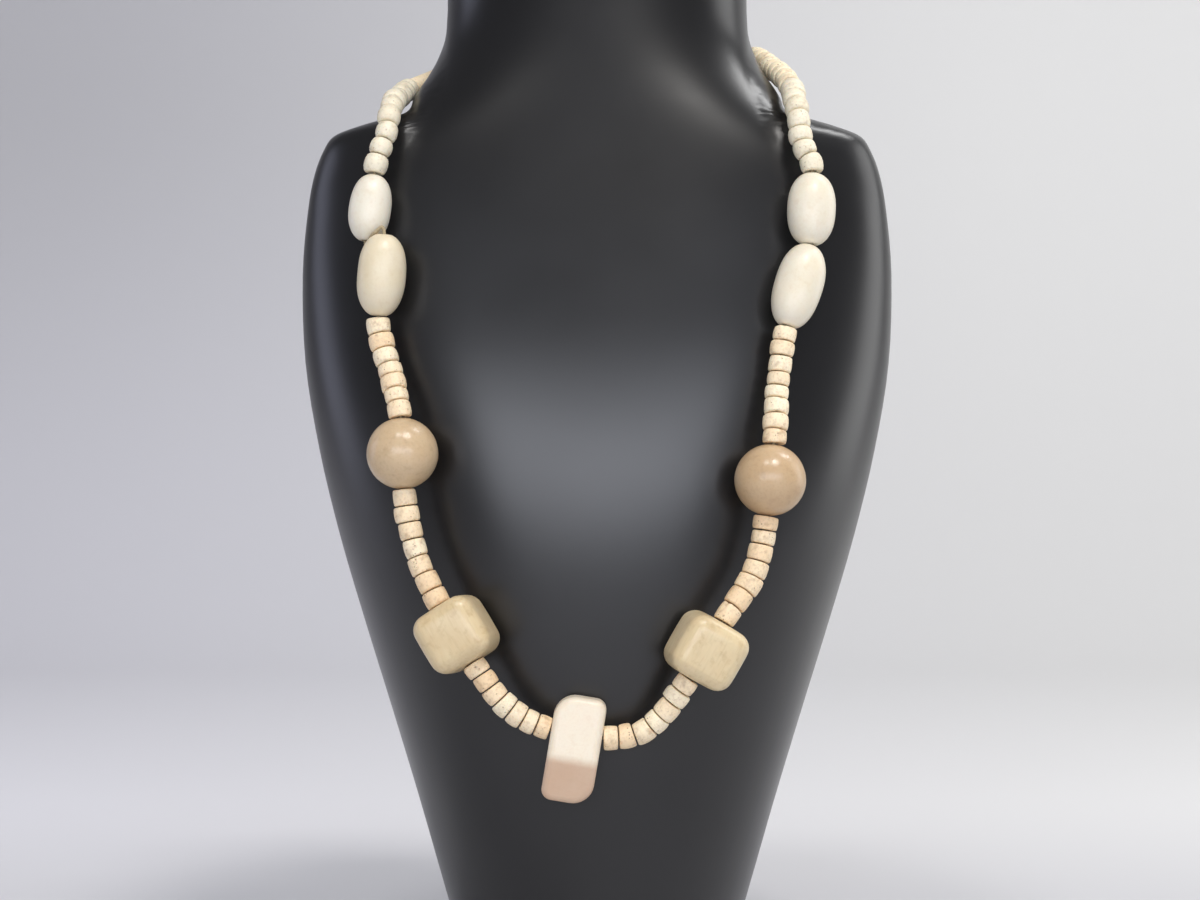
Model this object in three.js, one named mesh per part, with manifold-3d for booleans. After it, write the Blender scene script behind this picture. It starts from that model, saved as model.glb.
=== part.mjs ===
// A necklace of bone beads on the plain neck bust that shows it, in millimetres with +Z up. The bust
// stands on the XY plane with its base centred on the origin and faces -Y, so +X is a viewer's right.
import * as THREE from "three";
import { mergeVertices } from "three/addons/utils/BufferGeometryUtils.js";
import { RoundedBoxGeometry } from "three/addons/geometries/RoundedBoxGeometry.js";
import Module from "manifold-3d";

const wasm = await Module();
wasm.setup();

// Driving dimensions.
const THREAD_RADIUS = 0.5;
const THREAD_SIDES = 5;
const THREAD_STEP = 3.8; // length of one straight step of the thread
const KNOTTED_THREAD_RADIUS = 0.7; // the core of a joined strand
const LARGE_BORE_RADIUS = 2;
const BORE_SIDES = 12;
const DISC_RADIUS = 4;
const DISC_RADIUS_SPREAD = 0.22; // hand-cut discs differ a little
const DISC_BORE_RADIUS = 1.3;
const DISC_CHAMFER = 0.7;
const DISC_SIDES = 10;
const STRAND_SIDES = 8;
const BEAD_GAP = 0.3; // between two discs
const END_GAP = 0.85; // between a disc and a large bead
const ROUND_RADIUS = 11.6;
const ROUND_SIDES = 16;
const ROUND_ARCS = 12;
const OVAL_POWER = 2.3; // the outline of an oval bead is a superellipse
const OVAL_END_SHARE = 0.42; // end face radius over the greatest radius
const OVAL_TRIM = 0.6; // left free at each end of an oval bead
const OVAL_SIDES = 14;
const OVAL_ARCS = 8;
const CUBE_SIDE = 21;
const CUBE_ROUNDING = 5;
const TUBE_BEAD_RADIUS = 3.25;
const PENDANT = { above: 12, below: 22.5, thickness: 12.5, crease: 8 };
const PENDANT_WIDE_CORNER = 7;
const PENDANT_TIGHT_CORNER = 3.5;
const PENDANT_EDGE = 3;
const PENDANT_TOP_FALL = 2;
const PENDANT_CREASE_RISE = 0.8;
const PENDANT_FOOT_FALL = 4.8;
const BUST_SIDES = 36;

// Level sections of the bust: height, half width, front, the depth of the widest line, and back. The
// front and the back of each section are half ellipses that meet at the widest line.
const BUST_SECTIONS = [
  //  z, halfWidth, front, side, back
  [0, 44.6, -50, -2, 45],
  [30, 53.2, -58, -3, 46],
  [60, 61.8, -65, -3, 47],
  [90, 70.8, -70, -4, 48],
  [120, 80, -73.2, -5, 49],
  [150, 88.8, -73.9, -6, 50],
  [180, 95.9, -72, -8, 51],
  [210, 100.5, -67.4, -11, 52],
  [240, 101.2, -60.8, -14, 52],
  [262, 99.1, -55.6, -17, 51],
  [274, 96.8, -52.5, -18, 50],
  [282, 93.7, -50.4, -19, 49],
  [287, 90.3, -49.2, -19, 48],
  [290, 83.1, -48.5, -19.5, 47],
  [292.5, 73.9, -47.9, -20, 46.5],
  [294.3, 66.7, -47.5, -20, 46.3],
  [296.5, 63.8, -47, -20, 46.3],
  [300, 62.9, -46.3, -18, 46.5],
  [304, 60.9, -45.7, -15, 47],
  [309, 58, -44.4, -11, 48],
  [316, 54.9, -43, -5.5, 49],
  [325, 52.5, -41.2, -1.5, 50],
  [340, 52.1, -38.3, 2, 51],
  [357.5, 52.1, -34.9, 2, 51],
  [360, 49.6, -32.4, 2, 48.5],
].map(([z, halfWidth, front, side, back]) => ({ z, halfWidth, front, side, back }));

// The thread's route, one closed loop: from the pendant to the right cube, up over the right
// shoulder, round the back of the neck, and down the left side. Names mark the ends of large beads.
const ROUTE = [
  ["pendant_in", -14.7, -77.8, 90.2],
  ["pendant_out", 1.6, -77.8, 87.5],
  ["", 15.8, -77.6, 90.4],
  ["cube_right_in", 30, -79.4, 107],
  ["cube_right_out", 40.1, -78.7, 124.5],
  ["", 50.5, -75, 140.3],
  ["round_right_in", 54.8, -73.2, 159],
  ["round_right_out", 57.1, -72.4, 181.6],
  ["", 58.7, -67, 199.5],
  ["oval_right_low_in", 61.9, -63.2, 220.1],
  ["oval_right_joint", 70.1, -56.5, 247.2],
  ["oval_right_high_out", 71.1, -52, 271.4],
  ["", 68.2, -48.8, 281],
  ["", 66.6, -42.4, 293.6],
  ["shoulder_right", 65.8, -25, 303.5],
  ["", 62.8, -8, 310.5],
  ["", 59.2, 5, 315.5],
  ["neck_right", 55, 17.4, 319.2],
  ["", 41.7, 38, 320.5],
  ["back_right", 28.9, 46.6, 320.7],
  ["", 14.9, 52.2, 320.8],
  ["", 0, 54.2, 320.8],
  ["back_left", -14.9, 52.2, 320.3],
  ["", -29, 46.4, 319.3],
  ["", -41.8, 38, 317.6],
  ["tube_in", -55.2, 17.8, 313.1],
  ["tube_out", -64.6, -6, 305.3],
  ["", -67.3, -23, 300.3],
  ["", -68.6, -39.2, 295.2],
  ["", -70.2, -46.6, 284.8],
  ["oval_left_high_in", -73.7, -49.9, 271.2],
  ["oval_left_high_out", -76.4, -52.3, 248.8],
  ["", -73.3, -57.8, 251],
  ["oval_left_low_in", -69.8, -58.8, 251],
  ["oval_left_low_out", -71.7, -58.6, 223.7],
  ["", -67.3, -62.8, 205.5],
  ["round_left_in", -63.7, -69, 190.1],
  ["round_left_out", -62.5, -69.8, 167.7],
  ["", -58.9, -71.3, 147.9],
  ["cube_left_in", -50.4, -74.8, 129.4],
  ["cube_left_out", -39.8, -77.6, 112],
  ["", -28.8, -78.2, 97.6],
];

// Runs of discs that are solids of their own, with the discs' lengths in the thread's direction.
const DISC_RUNS = [
  {
    name: "disc_right_low",
    from: "pendant_out",
    to: "cube_right_in",
    lengths: [4.8, 5, 5.8, 4.4, 5.4, 4.5, 4.7],
  },
  {
    name: "disc_right_mid",
    from: "cube_right_out",
    to: "round_right_in",
    lengths: [6, 6.1, 5.5, 5.1, 5.4, 4.5, 4.5],
  },
  {
    name: "disc_left_mid",
    from: "round_left_out",
    to: "cube_left_in",
    lengths: [5.7, 5.4, 5.7, 6.1, 6, 6.2, 5.7],
  },
  {
    name: "disc_left_low",
    from: "cube_left_out",
    to: "pendant_in",
    lengths: [4.5, 5, 5, 4.6, 4.8, 4.5, 4.7],
  },
];

// Runs of discs that are joined on their thread, one solid for each run.
const STRANDS = [
  { name: "strand_right_upper", from: "round_right_out", to: "oval_right_low_in", discs: 8 },
  { name: "strand_right_shoulder", from: "oval_right_high_out", to: "shoulder_right", discs: 8 },
  { name: "strand_right_neck", from: "shoulder_right", to: "neck_right", discs: 9 },
  { name: "strand_back_right", from: "neck_right", to: "back_right", discs: 8 },
  { name: "strand_back_middle", from: "back_right", to: "back_left", discs: 9 },
  { name: "strand_back_left", from: "back_left", to: "tube_in", discs: 11 },
  { name: "strand_left_shoulder", from: "tube_out", to: "oval_left_high_in", discs: 10 },
  { name: "strand_left_upper", from: "oval_left_low_out", to: "round_left_in", discs: 7 },
];

// Stretches of bare thread inside the beads that are solids of their own.
const THREADS = [
  { name: "thread_front", from: "round_left_in", to: "round_right_out" },
  { name: "thread_right_ovals", from: "oval_right_low_in", to: "oval_right_high_out" },
  { name: "thread_left_tube", from: "tube_in", to: "tube_out" },
  { name: "thread_left_ovals", from: "oval_left_high_in", to: "oval_left_low_out" },
];

const material = (color, roughness) => new THREE.MeshStandardMaterial({ color, roughness, metalness: 0 });
const discBone = material(0xe8d6b4, 0.6);
const polishedBone = material(0xf1e9d5, 0.35);
const tanBone = material(0xc79e74, 0.25);
const cordFibre = material(0xb9a98c, 0.9);
const blackShell = material(0x2b2b2d, 0.45);

// The closed spline through the route, with its arc length at each named point.
const STEPS_PER_POINT = 50;
const thread = new THREE.CatmullRomCurve3(
  ROUTE.map(([, x, y, z]) => new THREE.Vector3(x, y, z)),
  true,
  "catmullrom",
  0.5,
);
thread.arcLengthDivisions = ROUTE.length * STEPS_PER_POINT;
const arcLengths = thread.getLengths();
const LOOP_LENGTH = thread.getLength();
const pointAt = {};
const arcAt = {};
ROUTE.forEach(([name, x, y, z], index) => {
  if (!name) return;
  pointAt[name] = new THREE.Vector3(x, y, z);
  arcAt[name] = arcLengths[index * STEPS_PER_POINT];
});

// The length of thread from one named point on to the next, past the loop's first point if need be.
function stretchLength(from, to) {
  return (arcAt[to] - arcAt[from] + LOOP_LENGTH) % LOOP_LENGTH;
}

// Axes at a point for something threaded in a direction: outward leaves the bust, and sideways is
// square to both.
function threadedAxes(point, along) {
  const outward = new THREE.Vector3(point.x, point.y, 0).normalize();
  outward.addScaledVector(along, -outward.dot(along)).normalize();
  const sideways = new THREE.Vector3().crossVectors(along, outward);
  return { sideways, along, outward };
}

// Bends a shape that is threaded on the Y axis along the loop, from the given arc length on.
function bentAlongThread(geometry, start) {
  const places = geometry.getAttribute("position");
  for (let i = 0; i < places.count; i++) {
    const share = ((start + places.getY(i)) / LOOP_LENGTH + 1) % 1;
    const point = thread.getPointAt(share);
    const { sideways, outward } = threadedAxes(point, thread.getTangentAt(share));
    point.addScaledVector(sideways, places.getX(i)).addScaledVector(outward, places.getZ(i));
    places.setXYZ(i, point.x, point.y, point.z);
  }
  return geometry;
}

// A ring turned round the Y axis from corners [radius, height]; the outline closes on itself.
function turned(corners, sides) {
  const outline = [...corners, corners[0]].map(([radius, height]) => new THREE.Vector2(radius, height));
  return new THREE.LatheGeometry(outline, sides);
}

function manifoldOf(geometry) {
  const bare = new THREE.BufferGeometry().setAttribute("position", geometry.getAttribute("position"));
  if (geometry.index) bare.setIndex(geometry.index);
  const merged = mergeVertices(bare, 1e-3);
  return new wasm.Manifold(
    new wasm.Mesh({
      numProp: 3,
      vertProperties: new Float32Array(merged.getAttribute("position").array),
      triVerts: new Uint32Array(merged.index.array),
    }),
  );
}

function geometryOf(solid) {
  const { vertProperties, triVerts } = solid.getMesh();
  const geometry = new THREE.BufferGeometry();
  geometry.setAttribute("position", new THREE.BufferAttribute(vertProperties, 3));
  geometry.setIndex(new THREE.BufferAttribute(triVerts, 1));
  return geometry;
}

// Drills the thread's bore through a solid, along the Y axis.
function drilled(solid, length) {
  const drill = new THREE.CylinderGeometry(LARGE_BORE_RADIUS, LARGE_BORE_RADIUS, 2 * length, BORE_SIDES);
  return geometryOf(solid.subtract(manifoldOf(drill)));
}

// Beads are made threaded on the Y axis about their middle, with +Z away from the bust.
function disc(radius, length) {
  const half = length / 2;
  const rim = radius - DISC_CHAMFER;
  const shoulder = half - DISC_CHAMFER;
  const corners = [
    [DISC_BORE_RADIUS, -half],
    [rim, -half],
    [radius, -shoulder],
    [radius, shoulder],
    [rim, half],
    [DISC_BORE_RADIUS, half],
  ];
  return turned(corners, DISC_SIDES);
}

function roundBead() {
  const bore = Math.asin(LARGE_BORE_RADIUS / ROUND_RADIUS);
  const corners = [];
  for (let k = 0; k <= ROUND_ARCS; k++) {
    const angle = bore + ((Math.PI - 2 * bore) * k) / ROUND_ARCS;
    corners.push([ROUND_RADIUS * Math.sin(angle), -ROUND_RADIUS * Math.cos(angle)]);
  }
  return turned(corners, ROUND_SIDES);
}

function ovalBead(radius, length) {
  const half = length / 2 - OVAL_TRIM;
  const reach = half / (1 - OVAL_END_SHARE ** OVAL_POWER) ** (1 / OVAL_POWER);
  const corners = [[LARGE_BORE_RADIUS, -half]];
  for (let k = 0; k <= OVAL_ARCS; k++) {
    // Equal steps of a sine put more corners near the ends, where the outline turns.
    const height = half * Math.sin(Math.PI * (k / OVAL_ARCS - 0.5));
    const share = (1 - Math.abs(height / reach) ** OVAL_POWER) ** (1 / OVAL_POWER);
    corners.push([radius * share, height]);
  }
  corners.push([LARGE_BORE_RADIUS, half]);
  return turned(corners, OVAL_SIDES);
}

function tubeBead(length) {
  const half = length / 2 - END_GAP;
  const corners = [
    [LARGE_BORE_RADIUS, -half],
    [TUBE_BEAD_RADIUS - DISC_CHAMFER, -half],
    [TUBE_BEAD_RADIUS, DISC_CHAMFER - half],
    [TUBE_BEAD_RADIUS, half - DISC_CHAMFER],
    [TUBE_BEAD_RADIUS - DISC_CHAMFER, half],
    [LARGE_BORE_RADIUS, half],
  ];
  return turned(corners, OVAL_SIDES);
}

function cubeBead(length) {
  const box = new RoundedBoxGeometry(CUBE_SIDE, length, CUBE_SIDE, 3, CUBE_ROUNDING);
  return drilled(manifoldOf(box), length);
}

// An outline through corners [x, y, radius], each rounded by its own radius.
function roundedOutline(corners) {
  const outline = new THREE.Shape();
  corners.forEach(([x, y, radius], index) => {
    const corner = new THREE.Vector2(x, y);
    const towards = (other) => {
      const [otherX, otherY] = corners[(index + other + corners.length) % corners.length];
      return new THREE.Vector2(otherX, otherY).sub(corner).normalize().multiplyScalar(radius).add(corner);
    };
    const start = towards(-1);
    const end = towards(1);
    if (index === 0) outline.moveTo(start.x, start.y);
    else outline.lineTo(start.x, start.y);
    outline.quadraticCurveTo(x, y, end.x, end.y);
  });
  outline.closePath();
  return outline;
}

// The pendant is a flat bar that hangs along +X from a cross bore near its top. Its face rises to a
// crease below the middle and falls away again to the foot.
function pendantBead(length) {
  const half = length / 2;
  const { above, below, thickness, crease } = PENDANT;
  const front = roundedOutline([
    [-above, -half, PENDANT_WIDE_CORNER],
    [below, -half, PENDANT_TIGHT_CORNER],
    [below, half, PENDANT_WIDE_CORNER],
    [-above, half, PENDANT_TIGHT_CORNER],
  ]);
  const face = thickness / 2;
  const profile = roundedOutline([
    [-above, -face, PENDANT_EDGE],
    [below, -face, PENDANT_EDGE],
    [below, face - PENDANT_FOOT_FALL, PENDANT_EDGE],
    [crease, face + PENDANT_CREASE_RISE, PENDANT_EDGE / 2],
    [-above, face - PENDANT_TOP_FALL, PENDANT_EDGE],
  ]);
  const options = { curveSegments: 5, bevelEnabled: false };
  const slab = new THREE.ExtrudeGeometry(front, { ...options, depth: 2 * thickness });
  slab.translate(0, 0, -thickness);
  const bar = new THREE.ExtrudeGeometry(profile, { ...options, depth: 2 * length });
  bar.translate(0, 0, -length).rotateX(-Math.PI / 2);
  return drilled(manifoldOf(slab).intersect(manifoldOf(bar)), length);
}

// Discs and thread in one solid: the outline runs from the thread's middle over each disc in turn.
function joinedDiscs(length, discs) {
  const pitch = (length - 2 * END_GAP + BEAD_GAP) / discs;
  const corners = [[0, END_GAP]];
  for (let k = 0; k < discs; k++) {
    const low = END_GAP + k * pitch;
    const high = low + pitch - BEAD_GAP;
    if (k > 0) corners.push([KNOTTED_THREAD_RADIUS, low]);
    corners.push([discRadius(k), low], [discRadius(k), high]);
    if (k < discs - 1) corners.push([KNOTTED_THREAD_RADIUS, high]);
  }
  corners.push([0, length - END_GAP]);
  const outline = corners.map(([radius, height]) => new THREE.Vector2(radius, height));
  return new THREE.LatheGeometry(outline, STRAND_SIDES);
}

function discRadius(k) {
  return DISC_RADIUS + DISC_RADIUS_SPREAD * Math.sin(2.4 * k);
}

function bust() {
  const rings = BUST_SECTIONS.length - 1;
  const geometry = new THREE.CylinderGeometry(1, 1, rings, BUST_SIDES, rings);
  const places = geometry.getAttribute("position");
  for (let i = 0; i < places.count; i++) {
    const { z, halfWidth, front, side, back } = BUST_SECTIONS[Math.round(places.getY(i) + rings / 2)];
    const backward = -places.getZ(i);
    const depth = backward < 0 ? side - front : back - side;
    places.setXYZ(i, halfWidth * places.getX(i), side + depth * backward, z);
  }
  return geometry;
}

const necklace = new THREE.Group();

function add(name, geometry, finish) {
  const mesh = new THREE.Mesh(geometry, finish);
  mesh.name = name;
  necklace.add(mesh);
  return mesh;
}

// Puts a large bead between two points of the thread, turned about the thread by an angle.
function addLargeBead(name, from, to, turnDegrees, shape, finish) {
  const along = pointAt[to].clone().sub(pointAt[from]);
  const length = along.length();
  const mesh = add(name, shape(length), finish);
  mesh.position.copy(pointAt[from]).lerp(pointAt[to], 0.5);
  const axes = threadedAxes(mesh.position, along.normalize());
  mesh.quaternion.setFromRotationMatrix(
    new THREE.Matrix4().makeBasis(axes.sideways, axes.along, axes.outward),
  );
  mesh.rotateY(THREE.MathUtils.degToRad(turnDegrees));
}

add("neck_bust", bust(), blackShell);
addLargeBead("pendant_bead", "pendant_in", "pendant_out", 0, pendantBead, polishedBone);
addLargeBead("cube_right", "cube_right_in", "cube_right_out", -10, cubeBead, tanBone);
addLargeBead("cube_left", "cube_left_in", "cube_left_out", -17, cubeBead, tanBone);
addLargeBead("round_right", "round_right_in", "round_right_out", 0, roundBead, tanBone);
addLargeBead("round_left", "round_left_in", "round_left_out", 0, roundBead, tanBone);

const ovals = [
  { name: "oval_right_low", from: "oval_right_low_in", to: "oval_right_joint", radius: 8 },
  { name: "oval_right_high", from: "oval_right_joint", to: "oval_right_high_out", radius: 8 },
  { name: "oval_left_high", from: "oval_left_high_in", to: "oval_left_high_out", radius: 7 },
  { name: "oval_left_low", from: "oval_left_low_in", to: "oval_left_low_out", radius: 8 },
];
for (const { name, from, to, radius } of ovals) {
  addLargeBead(name, from, to, 0, (length) => ovalBead(radius, length), polishedBone);
}
addLargeBead("tube_bead_left", "tube_in", "tube_out", 0, tubeBead, discBone);

for (const { name, from, to, lengths } of DISC_RUNS) {
  const free = stretchLength(from, to) - 2 * END_GAP - (lengths.length - 1) * BEAD_GAP;
  const fit = free / lengths.reduce((sum, length) => sum + length, 0);
  let start = arcAt[from] + END_GAP;
  lengths.forEach((length, k) => {
    const fitted = length * fit;
    add(`${name}_${k + 1}`, bentAlongThread(disc(discRadius(k), fitted), start + fitted / 2), discBone);
    start += fitted + BEAD_GAP;
  });
}

for (const { name, from, to, discs } of STRANDS) {
  add(name, bentAlongThread(joinedDiscs(stretchLength(from, to), discs), arcAt[from]), discBone);
}

for (const { name, from, to } of THREADS) {
  const length = stretchLength(from, to);
  const steps = Math.round(length / THREAD_STEP);
  const cord = new THREE.CylinderGeometry(THREAD_RADIUS, THREAD_RADIUS, length, THREAD_SIDES, steps);
  add(name, bentAlongThread(cord, arcAt[from] + length / 2), cordFibre);
}

export default necklace;
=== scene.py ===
"""A necklace of carved bone beads on a black neck bust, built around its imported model."""

import math
import random
from bisect import bisect

import bpy
from mathutils import Matrix, Vector, noise
from mathutils.geometry import interpolate_bezier


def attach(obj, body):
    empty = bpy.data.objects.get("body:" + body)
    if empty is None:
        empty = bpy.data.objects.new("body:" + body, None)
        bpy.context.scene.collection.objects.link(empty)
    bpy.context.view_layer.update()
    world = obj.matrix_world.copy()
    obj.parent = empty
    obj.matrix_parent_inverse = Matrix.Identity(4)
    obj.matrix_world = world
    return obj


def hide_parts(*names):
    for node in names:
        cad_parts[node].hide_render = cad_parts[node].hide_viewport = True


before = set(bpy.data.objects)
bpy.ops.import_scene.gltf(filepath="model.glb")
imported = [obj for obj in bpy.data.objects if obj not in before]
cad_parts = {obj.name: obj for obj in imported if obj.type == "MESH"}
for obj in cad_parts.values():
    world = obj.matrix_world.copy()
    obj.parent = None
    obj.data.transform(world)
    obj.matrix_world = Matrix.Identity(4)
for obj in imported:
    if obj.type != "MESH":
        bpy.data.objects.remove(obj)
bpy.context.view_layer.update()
scene = bpy.context.scene


# --- Neck bust ---------------------------------------------------------------------------
# The display stand: neck, sloping shoulders and chest of one moulded plastic shell, finished
# in satin black, with a flat base that it stands on.

# Level sections, each as height, half width, front, side and back: two half ellipses, one
# forward and one backward of the side.
SECTIONS = [
    (0.0, 0.0446, -0.05, -0.002, 0.045),
    (0.03, 0.0532, -0.058, -0.003, 0.046),
    (0.06, 0.0618, -0.065, -0.003, 0.047),
    (0.09, 0.0708, -0.07, -0.004, 0.048),
    (0.12, 0.08, -0.0732, -0.005, 0.049),
    (0.15, 0.0888, -0.0739, -0.006, 0.05),
    (0.18, 0.0959, -0.072, -0.008, 0.051),
    (0.21, 0.1005, -0.0674, -0.011, 0.052),
    (0.24, 0.1012, -0.0608, -0.014, 0.052),
    (0.262, 0.0991, -0.0556, -0.017, 0.051),
    (0.274, 0.0968, -0.0525, -0.018, 0.05),
    (0.282, 0.0937, -0.0504, -0.019, 0.049),
    (0.287, 0.0903, -0.0492, -0.019, 0.048),
    (0.29, 0.0831, -0.0485, -0.0195, 0.047),
    (0.2925, 0.0739, -0.0479, -0.02, 0.0465),
    (0.2943, 0.0667, -0.0475, -0.02, 0.0463),
    (0.2965, 0.0638, -0.047, -0.02, 0.0463),
    (0.3, 0.0629, -0.0463, -0.018, 0.0465),
    (0.304, 0.0609, -0.0457, -0.015, 0.047),
    (0.309, 0.058, -0.0444, -0.011, 0.048),
    (0.316, 0.0549, -0.043, -0.0055, 0.049),
    (0.325, 0.0525, -0.0412, -0.0015, 0.05),
    (0.34, 0.0521, -0.0383, 0.002, 0.051),
    (0.3575, 0.0521, -0.0349, 0.002, 0.051),
    (0.36, 0.0496, -0.0324, 0.002, 0.0485),
]
SECTION_STEPS = 4
BUST_SIDES = 144
# How full a section is, by its height: 2 is an ellipse, and more is squarer.
FULLNESS = [
    (0.29, 2.0),
    (0.2925, 2.15),
    (0.2943, 2.42),
    (0.2965, 2.47),
    (0.3, 2.2),
    (0.304, 2.1),
    (0.309, 2.0),
]
# Where the neck is blended into the chest: the middle of it, how far it goes up and down, the
# stretch over which it fades out there, and how far up and down each point is averaged.
BLEND_HEIGHT = 0.295
BLEND_HALF = 0.062
BLEND_FADE = 0.03
BLEND_REACH = 0.022
BLEND_SAMPLES = 20
SATIN_GRAIN = 0.00001


def colour(code):
    """A finish's colour, from its hexadecimal code on a paint card."""
    channels = [int(code[i : i + 2], 16) / 255 for i in (0, 2, 4)]
    linear = [c / 12.92 if c <= 0.04045 else ((c + 0.055) / 1.055) ** 2.4 for c in channels]
    return (*linear, 1.0)


class Wire:
    """What a node gives: sums on it add Math nodes, and node() adds any other node."""

    def __init__(self, socket):
        self.socket = socket

    def node(self, kind, settings, inputs, output=0):
        tree = self.socket.id_data
        made = tree.nodes.new("ShaderNode" + kind)
        for name, value in settings.items():
            setattr(made, name, value)
        for name, value in inputs.items():
            if isinstance(value, Wire):
                tree.links.new(value.socket, made.inputs[name])
            else:
                made.inputs[name].default_value = value
        return Wire(made.outputs[output])

    def sum(self, operation, first, second):
        return self.node("Math", {"operation": operation}, {0: first, 1: second})

    def __add__(self, other):
        return self.sum("ADD", self, other)

    def __sub__(self, other):
        return self.sum("SUBTRACT", self, other)

    def __rsub__(self, other):
        return self.sum("SUBTRACT", other, self)

    def __mul__(self, other):
        return self.sum("MULTIPLY", self, other)

    __radd__ = __add__
    __rmul__ = __mul__


def finish(name):
    """A new material, its shader, and the wire that gives a point's place on the object."""
    made = bpy.data.materials.new(name)
    made.use_nodes = True
    shader = made.node_tree.nodes["Principled BSDF"]
    places = made.node_tree.nodes.new("ShaderNodeTexCoord")
    return made, shader, Wire(places.outputs["Object"])


def speckle(place, scale, detail=3.0):
    """Cloudy noise from 0 to 1, with its clouds about 1/scale metres across."""
    return place.node("TexNoise", {}, {"Vector": place, "Scale": scale, "Detail": detail})


def between(value, low, high):
    """0 where a value is under low and 1 where it is over high."""
    limits = {"Value": value, "From Min": low, "From Max": high}
    return value.node("MapRange", {"interpolation_type": "SMOOTHSTEP"}, limits)


def blended(share, first, second):
    """The first colour where share is 0 and the second where it is 1."""
    return share.node("Mix", {"data_type": "RGBA"}, {0: share, 6: first, 7: second}, 2)


def feed(shader, **inputs):
    """Links wires to a shader's sockets, and sets plain values on them."""
    for name, value in inputs.items():
        socket = shader.inputs[name.replace("_", " ")]
        if isinstance(value, Wire):
            shader.id_data.links.new(value.socket, socket)
        else:
            socket.default_value = value


def bump(height, distance):
    """The surface turned as relief of that many metres would turn it."""
    return height.node("Bump", {}, {"Height": height, "Distance": distance, "Strength": 1.0})


satin, shader, place = finish("satin_black")
haze = speckle(place, 22.0, 4.0)
grain = speckle(place, 1500.0, 2.0)
feed(
    shader,
    Base_Color=blended(haze, colour("101011"), colour("161618")),
    Roughness=0.26 + 0.08 * haze,
    Normal=bump(grain, SATIN_GRAIN),
    Specular_IOR_Level=0.7,
)


def rows_between(rows, steps):
    """The rows with smooth steps put between each two, on a spline through them."""
    smooth = []
    for i in range(len(rows) - 1):
        four = [rows[min(max(i + k, 0), len(rows) - 1)] for k in (-1, 0, 1, 2)]
        for step in range(steps):
            t = step / steps
            row = []
            for a, b, c, d in zip(*four):
                square, cube = 2 * a - 5 * b + 4 * c - d, 3 * b - a - 3 * c + d
                row.append(0.5 * (2 * b + (c - a) * t + square * t**2 + cube * t**3))
            smooth.append(row)
    return [*smooth, list(rows[-1])]


def select_where(obj, test):
    """Selects, in edit mode, the vertices of an object whose place passes the test."""
    bpy.ops.mesh.select_mode(type="VERT")
    bpy.ops.mesh.select_all(action="DESELECT")
    bpy.ops.object.mode_set(mode="OBJECT")
    for vertex in obj.data.vertices:
        vertex.select = test(vertex.co)
    bpy.ops.object.mode_set(mode="EDIT")


def shaped(name, material):
    """Ends the shaping of the active object: out of edit mode, named, finished and smooth."""
    bpy.ops.mesh.select_all(action="SELECT")
    bpy.ops.mesh.normals_make_consistent(inside=False)
    bpy.ops.object.mode_set(mode="OBJECT")
    obj = bpy.context.object
    obj.name = obj.data.name = name
    obj.data.materials.clear()
    obj.data.materials.append(material)
    bpy.ops.object.shade_smooth_by_angle(angle=math.radians(40))
    return obj


def fullness(z):
    """The power of the outline at a height, in place of an ellipse's 2."""
    for (low, first), (high, last) in zip(FULLNESS, FULLNESS[1:]):
        if low <= z <= high:
            return first + (last - first) * (z - low) / (high - low)
    return 2.0


def skin(x, z, forward):
    """The shell's depth at a place across and up, on its front or its back."""
    i = min(bisect(sections, [z]), len(sections) - 1)
    low, high = sections[i - 1], sections[i]
    share = (z - low[0]) / (high[0] - low[0])
    _, half_width, front, side, back = (a + (b - a) * share for a, b in zip(low, high))
    reach = (front if forward else back) - side
    power = fullness(z)
    return side + reach * max(1 - abs(x / half_width) ** power, 0) ** (1 / power)


bpy.ops.object.select_all(action="DESELECT")
bpy.ops.mesh.primitive_circle_add(vertices=BUST_SIDES, radius=1, fill_type="NGON")
bpy.ops.object.mode_set(mode="EDIT")
sections = rows_between(SECTIONS, SECTION_STEPS)
for _ in sections[1:]:
    bpy.ops.mesh.extrude_region_move(TRANSFORM_OT_translate={"value": (0, 0, 1)})
bpy.ops.object.mode_set(mode="OBJECT")
bust = bpy.context.object
for vertex in bust.data.vertices:
    height, half_width, front, side, back = sections[round(vertex.co.z)]
    depth = side - front if vertex.co.y < 0 else back - side
    power = 2 / fullness(height)
    vertex.co.x = math.copysign(abs(vertex.co.x) ** power, vertex.co.x)
    vertex.co.y = math.copysign(abs(vertex.co.y) ** power, vertex.co.y)
    forward = vertex.co.y < 0
    vertex.co = (half_width * vertex.co.x, side + depth * vertex.co.y, height)
    # Between the shoulders the neck runs smoothly on to the chest and the back: a point there
    # takes the mean depth above and below it, as far up as the shell still goes.
    share = min(max((BLEND_HALF - abs(height - BLEND_HEIGHT)) / BLEND_FADE, 0), 1)
    ends = [row[0] for row in sections if row[0] > height and row[1] < abs(vertex.co.x)]
    reach = min([BLEND_REACH, *[end - height for end in ends[:1]]])
    if share > 0:
        steps = [k / BLEND_SAMPLES for k in range(1 - BLEND_SAMPLES, BLEND_SAMPLES)]
        weights = [1 - abs(step) for step in steps]
        depths = [skin(vertex.co.x, height + reach * step, forward) for step in steps]
        mean = sum(w * d for w, d in zip(weights, depths)) / sum(weights)
        vertex.co.y += share * (mean - vertex.co.y)
bpy.ops.object.mode_set(mode="EDIT")
shaped("neck_bust_shell", satin)

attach(bust, "root")
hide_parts("neck_bust")


# --- Thread ------------------------------------------------------------------------------
# A waxed cotton thread, knotted into one closed loop, which lies over the chest and shoulders
# and round the back of the neck. Every bead is strung on it.

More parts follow.
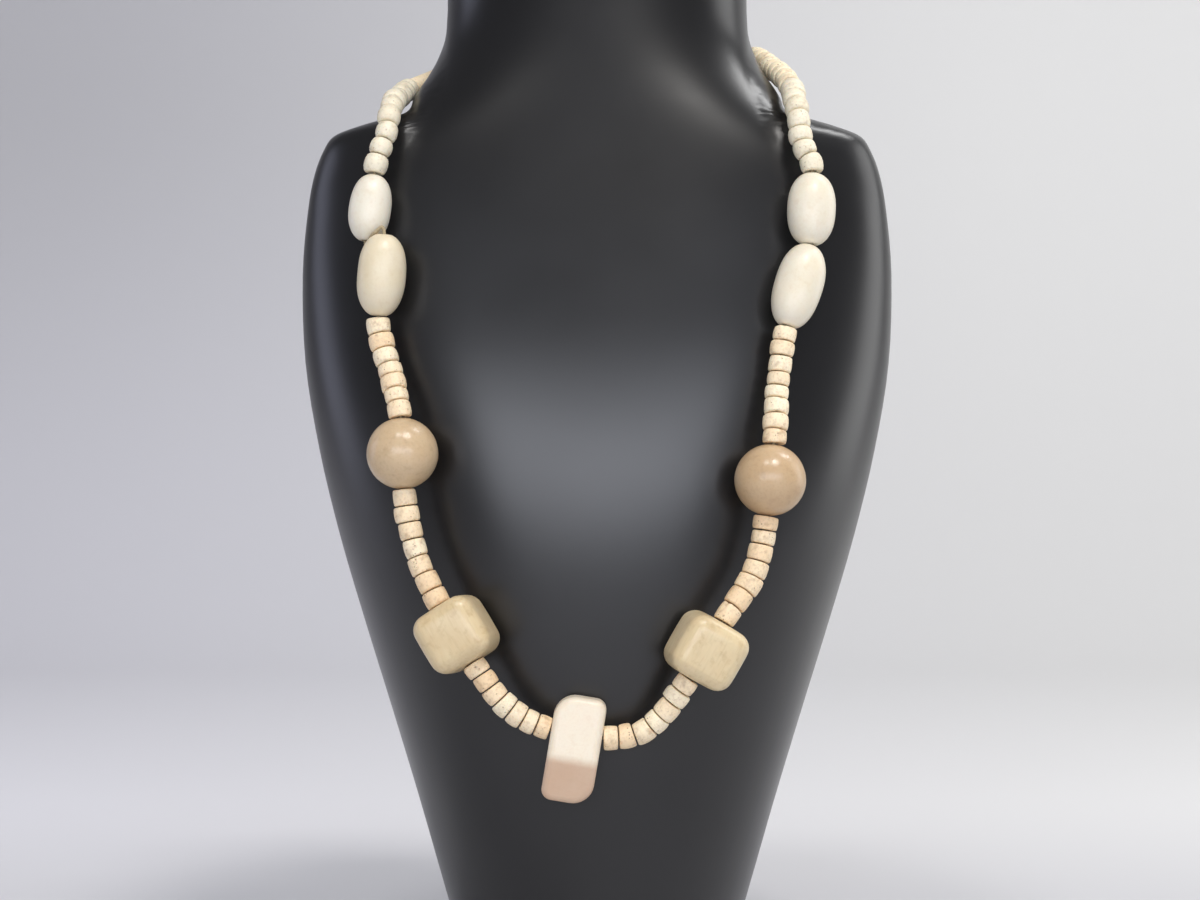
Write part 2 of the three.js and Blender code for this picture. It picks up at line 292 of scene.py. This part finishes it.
# The thread's way round, over the viewer's right shoulder first, with names for the places
# where it enters and leaves a large bead or where a run of discs ends.
ROUTE = [
    ("pendant_in", -0.0147, -0.0778, 0.0902),
    ("pendant_out", 0.0016, -0.0778, 0.0875),
    ("", 0.0158, -0.0776, 0.0904),
    ("cube_right_in", 0.03, -0.0794, 0.107),
    ("cube_right_out", 0.0401, -0.0787, 0.1245),
    ("", 0.0505, -0.075, 0.1403),
    ("round_right_in", 0.0548, -0.0732, 0.159),
    ("round_right_out", 0.0571, -0.0724, 0.1816),
    ("", 0.0587, -0.067, 0.1995),
    ("oval_right_low_in", 0.0619, -0.0632, 0.2201),
    ("oval_right_joint", 0.0701, -0.0565, 0.2472),
    ("oval_right_high_out", 0.0711, -0.052, 0.2714),
    ("", 0.0682, -0.0488, 0.281),
    ("", 0.0666, -0.0424, 0.2936),
    ("shoulder_right", 0.0658, -0.025, 0.3035),
    ("", 0.0628, -0.008, 0.3105),
    ("", 0.0592, 0.005, 0.3155),
    ("neck_right", 0.055, 0.0174, 0.3192),
    ("", 0.0417, 0.038, 0.3205),
    ("back_right", 0.0289, 0.0466, 0.3207),
    ("", 0.0149, 0.0522, 0.3208),
    ("", 0.0, 0.0542, 0.3208),
    ("back_left", -0.0149, 0.0522, 0.3203),
    ("", -0.029, 0.0464, 0.3193),
    ("", -0.0418, 0.038, 0.3176),
    ("tube_in", -0.0552, 0.0178, 0.3131),
    ("tube_out", -0.0646, -0.006, 0.3053),
    ("", -0.0673, -0.023, 0.3003),
    ("", -0.0686, -0.0392, 0.2952),
    ("", -0.0702, -0.0466, 0.2848),
    ("oval_left_high_in", -0.0737, -0.0499, 0.2712),
    ("oval_left_high_out", -0.0764, -0.0523, 0.2488),
    ("", -0.0733, -0.0578, 0.251),
    ("oval_left_low_in", -0.0698, -0.0588, 0.251),
    ("oval_left_low_out", -0.0717, -0.0586, 0.2237),
    ("", -0.0673, -0.0628, 0.2055),
    ("round_left_in", -0.0637, -0.069, 0.1901),
    ("round_left_out", -0.0625, -0.0698, 0.1677),
    ("", -0.0589, -0.0713, 0.1479),
    ("cube_left_in", -0.0504, -0.0748, 0.1294),
    ("cube_left_out", -0.0398, -0.0776, 0.112),
    ("", -0.0288, -0.0782, 0.0976),
]
THREAD_STEPS = 40
THREAD_RADIUS = 0.0006
THREAD_FUZZ = 0.0002

cotton, shader, place = finish("waxed_cotton")
fibre = speckle(place, 1500.0)
feed(
    shader,
    Base_Color=blended(fibre, colour("8d7a5c"), colour("c9ba96")),
    Roughness=0.85,
    Normal=bump(fibre, THREAD_FUZZ),
)

knots = [Vector(row[1:]) for row in ROUTE]
reaches = [(knots[(i + 1) % len(knots)] - knots[i - 1]) / 6 for i in range(len(knots))]
line = []
for i, knot in enumerate(knots):
    after = (i + 1) % len(knots)
    handles = (knot + reaches[i], knots[after] - reaches[after])
    line += interpolate_bezier(knot, *handles, knots[after], THREAD_STEPS + 1)[:-1]
arcs = [0.0]
for i in range(len(line)):
    arcs.append(arcs[-1] + (line[(i + 1) % len(line)] - line[i]).length)
LOOP_LENGTH = arcs[-1]
point_at = {row[0]: knot for row, knot in zip(ROUTE, knots) if row[0]}
arc_at = {row[0]: arcs[i * THREAD_STEPS] for i, row in enumerate(ROUTE) if row[0]}


def thread_point(arc):
    """The thread's place at an arc length from the loop's first point."""
    arc %= LOOP_LENGTH
    i = bisect(arcs, arc) - 1
    share = (arc - arcs[i]) / (arcs[i + 1] - arcs[i])
    return line[i].lerp(line[(i + 1) % len(line)], share)


def threaded_axes(point, along):
    """Axes for something strung at a point: sideways, along the thread, and off the bust."""
    outward = Vector((point.x, point.y, 0)).normalized()
    outward = (outward - outward.dot(along) * along).normalized()
    return along.cross(outward), along, outward


def thread_axes(arc):
    """The thread's place and axes at an arc length, its direction taken over 2 mm."""
    point = thread_point(arc)
    along = (thread_point(arc + 0.001) - thread_point(arc - 0.001)).normalized()
    return point, threaded_axes(point, along)


curve = bpy.data.curves.new("thread", "CURVE")
curve.dimensions = "3D"
spline = curve.splines.new("BEZIER")
spline.bezier_points.add(len(knots) - 1)
spline.use_cyclic_u = True
for knot, reach, bend in zip(knots, reaches, spline.bezier_points):
    bend.handle_left_type = bend.handle_right_type = "FREE"
    bend.co, bend.handle_left, bend.handle_right = knot, knot - reach, knot + reach
curve.bevel_depth = THREAD_RADIUS
curve.bevel_resolution = 3
curve.resolution_u = 12
thread = bpy.data.objects.new("thread", curve)
scene.collection.objects.link(thread)
bpy.ops.object.select_all(action="DESELECT")
thread.select_set(True)
bpy.context.view_layer.objects.active = thread
bpy.ops.object.convert(target="MESH")
bpy.ops.object.mode_set(mode="EDIT")
thread = shaped("thread", cotton)
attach(thread, "root")
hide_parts("thread_front", "thread_right_ovals", "thread_left_tube", "thread_left_ovals")


# --- Disc beads --------------------------------------------------------------------------
# Small discs sawn from bone, drilled and tumbled: matt, with softly worn edges, small chips,
# brown and grey stains and open pores. No two are quite alike.

DISC_RADIUS = 0.004
DISC_BORE = 0.0012
DISC_LENGTH = 0.005
DISC_SIDES = 44
DISC_FLAT = 0.0023
DISC_BORE_EDGE = 0.0003
DISC_CORNER_STEPS = 5
BEAD_GAP = 0.00042
END_GAP = 0.0005
CHEST_WORN = 0.25
BONE_RELIEF = 0.0002
NEAR = 1e-6

# Each run of discs that are solids of their own, as its name, its ends, and how long its discs
# are beside each other.
DISC_RUNS = [
    ("disc_right_low", "pendant_out", "cube_right_in", (4.8, 5, 5.8, 4.4, 5.4, 4.5, 4.7)),
    ("disc_right_mid", "cube_right_out", "round_right_in", (6, 6.1, 5.5, 5.1, 5.4, 4.5, 4.5)),
    ("disc_left_mid", "round_left_out", "cube_left_in", (5.7, 5.4, 5.7, 6.1, 6, 6.2, 5.7)),
    ("disc_left_low", "cube_left_out", "pendant_in", (4.5, 5, 5, 4.6, 4.8, 4.5, 4.7)),
]

# Each run of discs that is one solid, as its name, ends, the discs in it, and how worn round
# and how bleached they are.
STRANDS = [
    ("strand_right_upper", "round_right_out", "oval_right_low_in", 8, 0.3, 0.65),
    ("strand_right_shoulder", "oval_right_high_out", "shoulder_right", 8, 0.6, 1.0),
    ("strand_right_neck", "shoulder_right", "neck_right", 9, 0.3, 0.8),
    ("strand_back_right", "neck_right", "back_right", 8, 0.3, 0.5),
    ("strand_back_middle", "back_right", "back_left", 9, 0.3, 0.5),
    ("strand_back_left", "back_left", "tube_in", 11, 0.3, 0.5),
    ("strand_left_shoulder", "tube_out", "oval_left_high_in", 10, 0.8, 1.0),
    ("strand_left_upper", "oval_left_low_out", "round_left_in", 7, 0.3, 0.55),
]


def bone(name, pale, deep, stain, roughness, mottled=1.0, pitted=1.0, axes=None):
    """A bone finish, from its colours and how matt, mottled and pitted it is.

    Given a bead's axes, the grain is drawn out along its bore. A vertex's tone, from 0 to 1,
    takes the bone from the deep colour to the pale one.
    """
    made, shader, place = finish(name)
    if axes:
        place = place.node("Mapping", {}, {"Vector": place, "Rotation": Matrix(axes).to_euler()})
        streaks = place.node("Mapping", {}, {"Vector": place, "Scale": (1.0, 0.12, 1.0)})
    else:
        streaks = place
    tone = place.node("Attribute", {"attribute_name": "tone"}, {}, 2)
    cloud = speckle(place, 110.0, 3.0)
    blotch = between(speckle(place, 330.0, 5.0), 0.52, 0.75)
    fine = speckle(streaks, 1200.0, 4.0)
    cells = place.node("TexVoronoi", {}, {"Vector": place, "Scale": 900.0, "Randomness": 1.0})
    pores = pitted * (1 - between(cells, 0.1, 0.24)) * between(speckle(place, 420.0), 0.5, 0.62)
    body = blended(between(tone + 0.5 * cloud, 0.25, 1.25), deep, pale)
    body = blended(mottled * 0.5 * blotch, body, stain)
    body = blended(mottled * 0.3 * between(fine, 0.45, 0.75), body, stain)
    body = blended(0.7 * pores, body, colour("6b5138"))
    feed(
        shader,
        Base_Color=body,
        Roughness=roughness + 0.1 * fine + 0.2 * pores,
        Normal=bump(mottled * (0.5 * fine + 0.5 * cloud) - 1.2 * pores, BONE_RELIEF),
        Specular_IOR_Level=0.5,
        Subsurface_Weight=0.15,
        Subsurface_Radius=(0.8, 0.5, 0.3),
        Subsurface_Scale=0.0015,
    )
    return made


disc_bone = bone("disc_bone", colour("fdefd0"), colour("f0d0a5"), colour("a58460"), 0.5)
bleached_bone = bone(
    "bleached_bone", colour("eee5cd"), colour("dccca6"), colour("a8916c"), 0.45, 0.8, 0.7
)


def toned(obj, tones):
    """Stores each vertex's tone, which the bone finishes read."""
    stored = obj.data.attributes.new("tone", "FLOAT", "POINT")
    stored.data.foreach_set("value", tones)


def turned_bead(name, outline, sides, material):
    """A bead turned round its bore, which lies along Y, from an outline of (radius, height)."""
    bpy.ops.object.select_all(action="DESELECT")
    bpy.ops.mesh.primitive_circle_add(
        vertices=sides,
        radius=outline[0][0],
        fill_type="NOTHING",
        location=(0, outline[0][1], 0),
        rotation=(math.pi / 2, 0, 0),
    )
    bpy.ops.object.transform_apply()
    bpy.ops.object.mode_set(mode="EDIT")
    bpy.ops.mesh.select_all(action="SELECT")
    for (radius, height), (next_radius, next_height) in zip(outline, outline[1:]):
        rise = {"value": (0, next_height - height, 0)}
        bpy.ops.mesh.extrude_region_move(TRANSFORM_OT_translate=rise)
        grow = next_radius / radius
        bpy.ops.transform.resize(value=(grow, 1, grow), center_override=(0, next_height, 0))
    first, last = outline[0][1], outline[-1][1]
    bore = 1.01 * outline[0][0]
    select_where(
        bpy.context.object,
        lambda co: min(abs(co.y - first), abs(co.y - last)) < NEAR
        and math.hypot(co.x, co.z) < bore,
    )
    bpy.ops.mesh.bridge_edge_loops()
    return shaped(name, material)


def disc_outline(worn):
    """A disc's outline, from nearly square edges at 0 to a plump pebble at 1."""
    half = DISC_LENGTH / 2
    edge = 0.0004 + 0.0009 * worn
    crown = 0.00006 + 0.00028 * worn
    corner = []
    for k in range(DISC_CORNER_STEPS + 1):
        angle = math.radians(90 * k / DISC_CORNER_STEPS)
        radius = DISC_RADIUS - crown - edge * (1 - math.sin(angle))
        corner.append((radius, edge * (1 - math.cos(angle)) - half))
    face = [
        (DISC_BORE, DISC_BORE_EDGE - half),
        (DISC_BORE + DISC_BORE_EDGE, -half),
        (DISC_FLAT, -half),
    ]
    lower = [*face, *corner, (DISC_RADIUS - 0.3 * crown, -0.45 * half)]
    upper = [(radius, -height) for radius, height in reversed(lower)]
    return [*lower, (DISC_RADIUS, 0.0), *upper]


def strung_disc(name, master, start, length, rng, bleach):
    """A copy of a disc, strung with its first face at an arc length and worn in its own way.

    It gets its own size, ovalness, slanted faces, chips out of its edges, ripples and tone, and
    it bends with the thread through it.
    """
    obj = master.copy()
    obj.data = master.data.copy()
    obj.name = obj.data.name = name
    scene.collection.objects.link(obj)
    size = rng.uniform(0.94, 1.05)
    oval = rng.uniform(0.97, 1.03)
    wedge = rng.uniform(-0.07, 0.07)
    turn = Matrix.Rotation(rng.uniform(0, math.tau), 3, "Y")
    slip = Vector((rng.uniform(-0.00025, 0.00025), 0, rng.uniform(-0.0001, 0.00025)))
    seed = Vector([rng.uniform(0, 90) for _ in range(3)])
    chips = []
    for _ in range(rng.choice((1, 2, 3, 3, 4))):
        angle = rng.uniform(0, math.tau)
        end = rng.choice((-1, 1)) * DISC_LENGTH / 2
        spot = Vector((DISC_RADIUS * math.cos(angle), end, DISC_RADIUS * math.sin(angle)))
        chips.append((spot, rng.uniform(0.0007, 0.0014), rng.uniform(0.15, 0.32)))
    half = length / 2
    for vertex in obj.data.vertices:
        co = vertex.co.copy()
        for spot, spread, depth in chips:
            near = 1 - (co - spot).length / spread
            if near > 0:
                co -= spot * depth * near * near
        if math.hypot(co.x, co.z) > 1.3 * DISC_BORE:
            lumps = 0.035 * noise.noise(co * 260 + seed)
            ripple = 1 + lumps + 0.012 * noise.noise(co * 1100 + seed)
            co.x *= size * oval * ripple
            co.z *= size / oval * ripple
        co.y *= (1 + wedge * co.x / DISC_RADIUS) * length / DISC_LENGTH
        co.y = min(max(co.y, -half), half)
        co = turn @ co + slip
        point, (sideways, _, outward) = thread_axes(start + half + co.y)
        vertex.co = point + co.x * sideways + co.z * outward
    tone = min(max(bleach + rng.uniform(-0.3, 0.3), 0), 1)
    toned(obj, [tone] * len(obj.data.vertices))
    return obj


def stretch(start, end):
    """The arc length where a run of beads starts, and its room, past its end gaps."""
    room = (arc_at[end] - arc_at[start]) % LOOP_LENGTH
    return arc_at[start] + END_GAP, room - 2 * END_GAP


def fitted(lengths, room):
    """Lengths of beads scaled so that they and the gaps between them fill the room."""
    scale = (room - (len(lengths) - 1) * BEAD_GAP) / sum(lengths)
    return [length * scale for length in lengths]


rng = random.Random(11)
masters = {}
for worn in sorted({CHEST_WORN, *(row[4] for row in STRANDS)}):
    masters[worn] = turned_bead(f"disc_master_{worn}", disc_outline(worn), DISC_SIDES, disc_bone)

for run, start, end, lengths in DISC_RUNS:
    arc, room = stretch(start, end)
    for k, length in enumerate(fitted(lengths, room)):
        node = f"{run}_{k + 1}"
        obj = strung_disc(node + "_bone", masters[CHEST_WORN], arc, length, rng, 0.5)
        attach(obj, "root")
        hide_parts(node)
        arc += length + BEAD_GAP

for strand, start, end, count, worn, bleach in STRANDS:
    arc, room = stretch(start, end)
    discs = []
    lengths = [rng.uniform(0.85, 1.15) for _ in range(count)]
    for k, length in enumerate(fitted(lengths, room)):
        discs.append(strung_disc(f"{strand}_{k}", masters[worn], arc, length, rng, bleach))
        arc += length + BEAD_GAP
    bpy.ops.object.select_all(action="DESELECT")
    for obj in discs:
        obj.select_set(True)
    bpy.context.view_layer.objects.active = discs[0]
    bpy.ops.object.join()
    discs[0].name = discs[0].data.name = strand + "_bone"
    if bleach == 1.0:
        discs[0].data.materials[0] = bleached_bone
    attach(discs[0], "root")
    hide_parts(strand)

for obj in masters.values():
    bpy.data.objects.remove(obj)


# --- Oval and tube beads -----------------------------------------------------------------
# Four barrel-shaped beads of bleached, polished bone, two on each side below the shoulder, and
# a slimmer, longer tube bead behind the left shoulder.

LARGE_BORE = 0.0014
OVAL_POWER = 2.3
OVAL_END_SHARE = 0.3
OVAL_SIDES = 72
OVAL_STEPS = 15
LARGE_GAP = 0.0003
LARGE_BORE_EDGE = 0.0004
TUBE_RADIUS = 0.0032
TUBE_TONE = 0.6


def strung(obj, start, end, turn=0.0):
    """Strings a large bead between two named points of the thread, turned about its bore."""
    along = (point_at[end] - point_at[start]).normalized()
    middle = (point_at[start] + point_at[end]) / 2
    axes = Matrix(threaded_axes(middle, along)).transposed().to_4x4()
    spin = Matrix.Rotation(math.radians(turn), 4, "Y")
    obj.data.transform(Matrix.Translation(middle) @ axes @ spin)


def uneven(obj, share):
    """Takes a bead off true by a share of its size, as handwork leaves it."""
    for vertex in obj.data.vertices:
        swell = 1 + share * noise.noise(vertex.co * 90 + Vector((len(obj.name), 0, 0)))
        vertex.co.x *= swell
        vertex.co.z *= swell


def chord(start, end):
    """The straight length between two named points of the thread."""
    return (point_at[end] - point_at[start]).length


def bored_end(half):
    """The outline of a large bead's bore, with its edge broken, up to the end at -half."""
    return [(LARGE_BORE, LARGE_BORE_EDGE - half), (LARGE_BORE + LARGE_BORE_EDGE, -half)]


def oval_outline(radius, length):
    """Half a barrel's outline turned both ways from its middle, its ends cut flat."""
    half = length / 2 - LARGE_GAP
    reach = half / (1 - OVAL_END_SHARE**OVAL_POWER) ** (1 / OVAL_POWER)
    lower = [*bored_end(half), (0.7 * (radius * OVAL_END_SHARE), -half)]
    for k in range(1, OVAL_STEPS):
        height = -half * math.cos(math.pi / 2 * k / OVAL_STEPS)
        share = (1 - abs(height / reach) ** OVAL_POWER) ** (1 / OVAL_POWER)
        lower.append((radius * share, height))
    return [*lower, (radius, 0.0), *[(r, -h) for r, h in reversed(lower)]]


ivory = bone("ivory_bone", colour("eae3d1"), colour("dfcb9f"), colour("ccb186"), 0.3, 0.35, 0.0)

# Each oval bead as its node, its ends, its radius and its tone.
OVALS = [
    ("oval_right_low", "oval_right_low_in", "oval_right_joint", 0.008, 0.75),
    ("oval_right_high", "oval_right_joint", "oval_right_high_out", 0.008, 0.8),
    ("oval_left_high", "oval_left_high_in", "oval_left_high_out", 0.007, 0.95),
    ("oval_left_low", "oval_left_low_in", "oval_left_low_out", 0.008, 0.5),
]
for node, start, end, radius, tone in OVALS:
    outline = oval_outline(radius, chord(start, end))
    obj = turned_bead(node + "_bone", outline, OVAL_SIDES, ivory)
    uneven(obj, 0.03)
    strung(obj, start, end)
    toned(obj, [tone] * len(obj.data.vertices))
    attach(obj, "root")
    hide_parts(node)

half = chord("tube_in", "tube_out") / 2 - 2 * LARGE_GAP
lower = [
    *bored_end(half),
    (0.75 * TUBE_RADIUS, -half),
    (0.92 * TUBE_RADIUS, 0.0003 - half),
    (TUBE_RADIUS, 0.0012 - half),
    (1.01 * TUBE_RADIUS, -0.5 * half),
]
outline = [*lower, (1.02 * TUBE_RADIUS, 0.0), *[(r, -h) for r, h in reversed(lower)]]
tube = turned_bead("tube_bead_left_bone", outline, OVAL_SIDES, disc_bone)
uneven(tube, 0.06)
strung(tube, "tube_in", "tube_out")
toned(tube, [TUBE_TONE] * len(tube.data.vertices))
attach(tube, "root")
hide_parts("tube_bead_left")


# --- Round beads -------------------------------------------------------------------------
# Two large balls of tan bone, one on each side of the chest, turned and polished to a gloss.

ROUND_RADIUS = 0.0116
ROUND_ARCS = 40
ROUND_SIDES = 80

bore_angle = math.asin(LARGE_BORE / ROUND_RADIUS)
ball_outline = []
for k in range(ROUND_ARCS + 1):
    angle = bore_angle + (math.pi - 2 * bore_angle) * k / ROUND_ARCS
    ball_outline.append((ROUND_RADIUS * math.sin(angle), -ROUND_RADIUS * math.cos(angle)))
glossy_tan = bone(
    "tan_bone_round", colour("cfb693"), colour("b8946c"), colour("9c805f"), 0.2, 0.5, 0.1
)
for node, tone in (("round_right", 0.55), ("round_left", 0.85)):
    obj = turned_bead(node + "_bone", ball_outline, ROUND_SIDES, glossy_tan)
    uneven(obj, 0.015)
    strung(obj, node + "_in", node + "_out")
    toned(obj, [tone] * len(obj.data.vertices))
    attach(obj, "root")
    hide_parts(node)


# --- Cube beads --------------------------------------------------------------------------
# Two cubes of tan bone with well-rounded edges, drilled through the middle, their faces
# sanded smooth over a faint straight grain.

CUBE_SIDE = 0.0217
CUBE_ROUNDING = 0.005
CUBE_PILLOW = 0.08
BORE_SIDES = 32

# Each cube as its node, its turn on the thread in degrees, and its tone.
CUBES = [("cube_right", -10, 0.7), ("cube_left", -17, 0.6)]


def worked(obj, name, kind, **settings):
    """Adds a modifier to the active object, with its settings, and applies it."""
    made = obj.modifiers.new(name, kind)
    for setting, value in settings.items():
        setattr(made, setting, value)
    bpy.ops.object.modifier_apply(modifier=made.name)


def drilled(obj, length):
    """Drills the thread's bore along Y with a boolean cut."""
    bpy.ops.mesh.primitive_cylinder_add(
        vertices=BORE_SIDES, radius=LARGE_BORE, depth=2 * length, rotation=(math.pi / 2, 0, 0)
    )
    drill = bpy.context.object
    bpy.ops.object.select_all(action="DESELECT")
    obj.select_set(True)
    bpy.context.view_layer.objects.active = obj
    worked(obj, "bore", "BOOLEAN", operation="DIFFERENCE", object=drill, solver="EXACT")
    bpy.data.objects.remove(drill)


for node, turn, tone in CUBES:
    start, end = point_at[node + "_in"], point_at[node + "_out"]
    length = (end - start).length
    axes = threaded_axes((start + end) / 2, (end - start).normalized())
    shades = colour("e4d2ab"), colour("c6a87a"), colour("a98a5b")
    tan = bone("tan_bone_" + node, *shades, 0.25, 0.6, 0.0, axes)
    bpy.ops.object.select_all(action="DESELECT")
    bpy.ops.mesh.primitive_cube_add(size=1, scale=(CUBE_SIDE, length, CUBE_SIDE))
    bpy.ops.object.transform_apply()
    obj = bpy.context.object
    worked(obj, "edges", "BEVEL", width=CUBE_ROUNDING, segments=6)
    bpy.ops.object.mode_set(mode="EDIT")
    bpy.ops.mesh.select_all(action="SELECT")
    bpy.ops.mesh.subdivide(number_cuts=3)
    bpy.ops.object.mode_set(mode="OBJECT")
    worked(obj, "pillow", "CAST", factor=CUBE_PILLOW)
    worked(obj, "soften", "SMOOTH", factor=0.5, iterations=3)
    bpy.ops.object.mode_set(mode="EDIT")
    shaped(node + "_bone", tan)
    drilled(obj, length)
    strung(obj, node + "_in", node + "_out", turn)
    toned(obj, [tone] * len(obj.data.vertices))
    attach(obj, "root")
    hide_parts(node)


# --- Pendant bead ------------------------------------------------------------------------
# The middle bead: a flat bar of bone, drilled across near its top, its face ground to a low
# crease below the middle and its upper left and lower right corners rounded right off.

PENDANT_ABOVE = 0.012
PENDANT_BELOW = 0.0225
PENDANT_THICKNESS = 0.0125
PENDANT_CREASE = 0.008
PENDANT_EDGE = 0.0022
WIDE_CORNER = 0.007
TIGHT_CORNER = 0.0035
CREASE_RISE = 0.0008
CREASE_SOFTNESS = 0.0018
TOP_FALL = 0.002
FOOT_FALL = 0.0048

# In the bead's own axes X is down and Y is to the viewer's right, along the bore. The face's
# height falls, here by its place down the bead, towards the top and the foot.
FACE_FALLS = [
    (-PENDANT_ABOVE, TOP_FALL),
    (PENDANT_CREASE, -CREASE_RISE),
    (PENDANT_BELOW, FOOT_FALL),
]
CORNERS = [
    (-PENDANT_ABOVE, -1, WIDE_CORNER),
    (PENDANT_BELOW, 1, WIDE_CORNER),
    (PENDANT_BELOW, -1, TIGHT_CORNER),
    (-PENDANT_ABOVE, 1, TIGHT_CORNER),
]

length = chord("pendant_in", "pendant_out")
height = PENDANT_ABOVE + PENDANT_BELOW
bpy.ops.object.select_all(action="DESELECT")
bpy.ops.mesh.primitive_cube_add(
    size=1,
    scale=(height, length, PENDANT_THICKNESS),
    location=((PENDANT_BELOW - PENDANT_ABOVE) / 2, 0, 0),
)
bpy.ops.object.transform_apply()
pendant = bpy.context.object
bpy.ops.object.mode_set(mode="EDIT")
bpy.ops.mesh.select_all(action="SELECT")
bpy.ops.mesh.bisect(plane_co=(PENDANT_CREASE, 0, 0), plane_no=(1, 0, 0))
for down, fall in FACE_FALLS:
    select_where(pendant, lambda co: co.z > 0 and abs(co.x - down) < 10 * NEAR)
    bpy.ops.transform.translate(value=(0, 0, -fall))
for near in (-CREASE_SOFTNESS, CREASE_SOFTNESS):
    bpy.ops.mesh.select_all(action="SELECT")
    bpy.ops.mesh.bisect(plane_co=(PENDANT_CREASE + near, 0, 0), plane_no=(1, 0, 0))
for down, side, radius in CORNERS:
    select_where(
        pendant, lambda co: abs(co.x - down) < 10 * NEAR and co.y * side > 0.99 * length / 2
    )
    bpy.ops.mesh.bevel(offset=radius, segments=8, profile=0.5, affect="EDGES")
# Its deep colour serves as painted shade on the lower face, below the crease.
pendant_ivory = bone(
    "ivory_bone_pendant", colour("ebdfc9"), colour("dab99c"), colour("c9a37c"), 0.33, 0.3, 0.0
)
shaped("pendant_bead_bone", pendant_ivory)
worked(
    pendant,
    "edges",
    "BEVEL",
    width=PENDANT_EDGE,
    segments=5,
    profile=0.5,
    limit_method="ANGLE",
    angle_limit=math.radians(40),
)
drilled(pendant, length)
# Painted shade: the bone is coloured pale above the crease and deep below it, darkening the
# lower face that tilts down away from the lights.
softened = PENDANT_CREASE + CREASE_SOFTNESS
tones = []
for vertex in pendant.data.vertices:
    share = min(max((softened - vertex.co.x) / (2 * CREASE_SOFTNESS), 0), 1)
    tones.append(0.15 + 0.8 * share)
toned(pendant, tones)
strung(pendant, "pendant_in", "pendant_out")
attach(pendant, "root")
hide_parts("pendant_bead")


# --- Floor and backdrop ------------------------------------------------------------------
# One pale paper sweep: it lies flat under the bust and curls up into the wall behind.

SWEEP_WIDTH = 9.0
SWEEP_FRONT = -3.0
SWEEP_BEND_START = 1.3
SWEEP_BEND = 0.7
SWEEP_BEND_STEPS = 16
WALL_HEIGHT = 2.6

paper, shader, place = finish("backdrop_paper")
across, back, up = (place.node("SeparateXYZ", {}, {"Vector": place}, k) for k in range(3))
# Painted light: the paper is darker on the floor in front of the bust, and on the wall it is
# lighter low down and to the right and darkest at the upper left, standing in for how the light
# falls across the sweep.
rightward = between(across, -0.6, 0.5)
backward = between(back, -0.1, 0.5)
upward = between(up, 0.0, 0.6)
low = blended(rightward, colour("e8e8f0"), colour("e8e8e8"))
high = blended(rightward, colour("d0d0d5"), colour("efefee"))
paper_with_painted_light = blended(backward, colour("c6c6ca"), blended(upward, low, high))
feed(shader, Base_Color=paper_with_painted_light, Roughness=0.9)

bpy.ops.object.select_all(action="DESELECT")
bpy.ops.mesh.primitive_plane_add(size=1, location=(0, 0, 0))
sweep = bpy.context.object
bpy.ops.object.mode_set(mode="EDIT")
select_where(sweep, lambda co: co.y < 0)
bpy.ops.transform.translate(value=(0, SWEEP_FRONT + 0.5, 0))
select_where(sweep, lambda co: co.y > 0)
bpy.ops.transform.translate(value=(0, SWEEP_BEND_START - 0.5, 0))
angle_before = 0.0
for k in range(1, SWEEP_BEND_STEPS + 1):
    angle = math.radians(90 * k / SWEEP_BEND_STEPS)
    step = (
        0,
        SWEEP_BEND * (math.sin(angle) - math.sin(angle_before)),
        SWEEP_BEND * (math.cos(angle_before) - math.cos(angle)),
    )
    bpy.ops.mesh.extrude_region_move(TRANSFORM_OT_translate={"value": step})
    angle_before = angle
bpy.ops.mesh.extrude_region_move(TRANSFORM_OT_translate={"value": (0, 0, WALL_HEIGHT)})
bpy.ops.mesh.select_all(action="SELECT")
bpy.ops.transform.resize(value=(SWEEP_WIDTH, 1, 1), center_override=(0, 0, 0))
shaped("paper_sweep", paper)


# --- Light and camera --------------------------------------------------------------------
# Two small softboxes above the camera, the right one stronger, and a broad panel that shows as
# the sheen on the chest; weak lights at the sides for the shoulders and one for the wall, and
# an even glow from the room. The camera looks level at the chest.

SUBJECT = Vector((0.0, -0.07, 0.2))
WALL_SPOT = Vector((0.4, 2.0, 0.5))
CAMERA_PLACE = (0.001, -0.974, 0.18)
CAMERA_LENS = 83.7


def softbox(name, place, size, watts, tint, aim=SUBJECT):
    """An oblong area light of so many watts that faces the necklace, or another aim."""
    lamp = bpy.data.lights.new(name, "AREA")
    lamp.shape = "RECTANGLE"
    lamp.size, lamp.size_y = size
    lamp.energy = watts
    lamp.color = tint
    holder = bpy.data.objects.new(name, lamp)
    holder.location = place
    holder.rotation_euler = (aim - Vector(place)).to_track_quat("-Z", "Y").to_euler()
    scene.collection.objects.link(holder)


softbox("key_right", (0.42, -0.95, 1.8), (0.4, 0.4), 16.0, (1.0, 0.97, 0.93))
softbox("key_left", (-0.3, -0.95, 1.75), (0.3, 0.3), 5.0, (1.0, 0.98, 0.95))
softbox("chest_panel", (0.0, -1.3, 0.41), (1.8, 0.42), 11.0, (0.88, 0.91, 1.0))
softbox("rim_right", (1.1, 0.25, 0.45), (0.5, 0.9), 3.0, (1.0, 1.0, 1.0))
softbox("rim_left", (-1.1, 0.2, 0.4), (0.4, 0.8), 1.4, (0.75, 0.78, 1.0))
softbox("wall_light", (1.3, 0.5, 2.1), (1.2, 0.6), 24.0, (1.0, 1.0, 1.0), WALL_SPOT)

world = bpy.data.worlds.new("room")
world.use_nodes = True
glow = world.node_tree.nodes["Background"]
glow.inputs["Color"].default_value = colour("dcdce2")
glow.inputs["Strength"].default_value = 0.2
scene.world = world
scene.view_settings.view_transform = "Standard"

camera_data = bpy.data.cameras.new("camera")
camera_data.sensor_width = 36.0
camera_data.lens = CAMERA_LENS
camera = bpy.data.objects.new("camera", camera_data)
camera.location = CAMERA_PLACE
camera.rotation_euler = (math.pi / 2, 0, 0)
scene.collection.objects.link(camera)
scene.camera = camera
